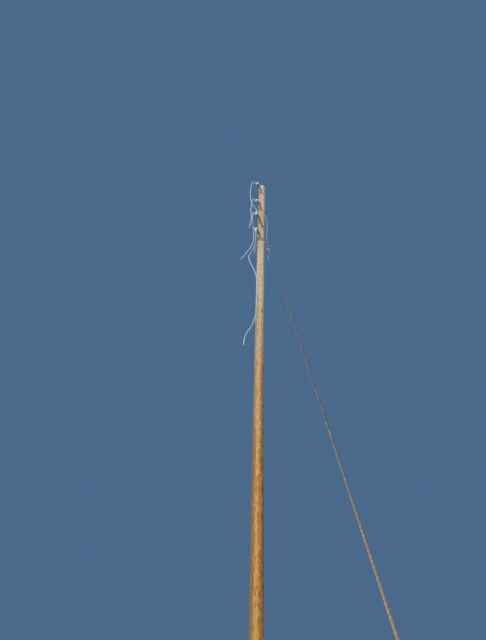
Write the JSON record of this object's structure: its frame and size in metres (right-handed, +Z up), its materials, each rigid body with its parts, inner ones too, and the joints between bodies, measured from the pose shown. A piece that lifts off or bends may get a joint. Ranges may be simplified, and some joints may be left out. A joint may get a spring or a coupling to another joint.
{
  "type": "wooden utility pole",
  "caption": "Round tapered wooden pole for low-voltage lines, with spool dead ends down one side, jumper tails, service hooks and a ground stay.",
  "frame": {"origin": "centre of the pole at ground level", "axes": "+Z up the pole; -Y towards the stay's foot; the near line leaves towards -X and -Y"},
  "size_m": [0.7145, 8.5104, 12.0023],
  "materials": {
    "pole_wood": "weathered pressure-treated softwood",
    "cap_sheet": "weathered sheet",
    "brown_glaze": "glazed porcelain",
    "galvanised": "hot-dip galvanised, dulled",
    "conductor": "stranded aluminium",
    "clamp_alloy": "cast alloy",
    "black_housing": "weatherproof housing",
    "stay_steel": "stranded galvanised steel, dulled"
  },
  "bodies": {
    "root": {"pole_shaft": "pole_wood", "pole_top_cap": "cap_sheet", "strap_A": "galvanised", "spool_A": "brown_glaze", "fixings_A": "galvanised", "line_loop_A": "conductor", "line_clamp_A": "clamp_alloy", "strap_B": "galvanised", "spool_B": "brown_glaze", "fixings_B": "galvanised", "line_loop_B": "conductor", "line_clamp_B": "clamp_alloy", "strap_C": "galvanised", "spool_C": "brown_glaze", "fixings_C": "galvanised", "line_loop_C": "conductor", "line_clamp_C": "clamp_alloy", "strap_D": "galvanised", "spool_D": "brown_glaze", "fixings_D": "galvanised", "line_loop_D": "conductor", "line_clamp_D": "clamp_alloy", "strap_E": "galvanised", "spool_E": "brown_glaze", "fixings_E": "galvanised", "line_loop_E": "conductor", "line_clamp_E": "clamp_alloy", "tap_connectors": "clamp_alloy", "jumper_connector": "clamp_alloy", "bolt_lug": "clamp_alloy", "service_connector": "black_housing", "stay_band_left": "galvanised", "stay_band_right": "galvanised", "stay_band_bolts": "galvanised", "stay_thimble": "galvanised", "stay_grip_top": "stay_steel", "stay_wire": "stay_steel", "stay_grip_bottom": "stay_steel", "stay_rod": "galvanised", "service_hook_upper": "galvanised", "wedge_clamp_upper": "clamp_alloy", "service_hook_lower": "galvanised", "wedge_clamp_lower": "clamp_alloy", "jumper_A": "conductor", "jumper_B": "conductor", "jumper_C": "conductor", "jumper_D": "conductor", "jumper_E": "conductor", "tap_cable": "conductor"}
  },
  "joints": []
}
